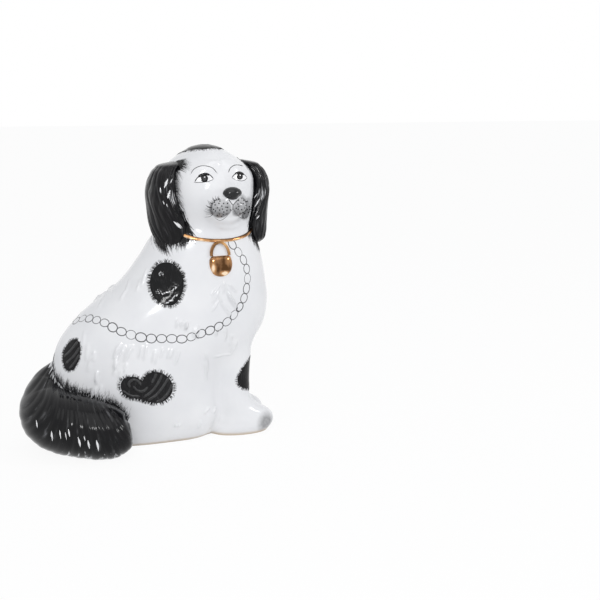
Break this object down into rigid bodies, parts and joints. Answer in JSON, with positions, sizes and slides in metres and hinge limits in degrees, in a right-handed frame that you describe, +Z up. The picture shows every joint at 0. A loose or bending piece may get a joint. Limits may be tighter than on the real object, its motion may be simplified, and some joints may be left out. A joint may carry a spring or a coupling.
{
  "type": "staffordshire dog figure",
  "caption": "Hollow glazed earthenware spaniel seated upright, with hanging ears, a wrapped tail, a gilt collar and a padlock; a mantelpiece ornament.",
  "frame": {"origin": "bounding box bottom centre: the middle of the overall length and depth, on the plane that the figure stands on", "axes": "+Z up, +X from the tail towards the chest and forepaws, -Y out of the dog's right flank, the side that its face is turned to"},
  "size_m": [0.2572, 0.1484, 0.292],
  "materials": {
    "white_glaze": "gloss",
    "black_glaze": "gloss",
    "gilding": "gloss",
    "bare_clay": "matte"
  },
  "bodies": {
    "root": {"body_right_half": "white_glaze", "body_left_half": "white_glaze", "head_face_half": "white_glaze", "head_back_half": "white_glaze", "base_slab": "bare_clay", "foreleg_right": "white_glaze", "foreleg_left": "white_glaze", "tail": "black_glaze", "ear_right": "black_glaze", "ear_left": "black_glaze", "nose": "black_glaze", "collar_band": "gilding", "padlock_body": "gilding", "padlock_shackle": "gilding"}
  },
  "joints": []
}
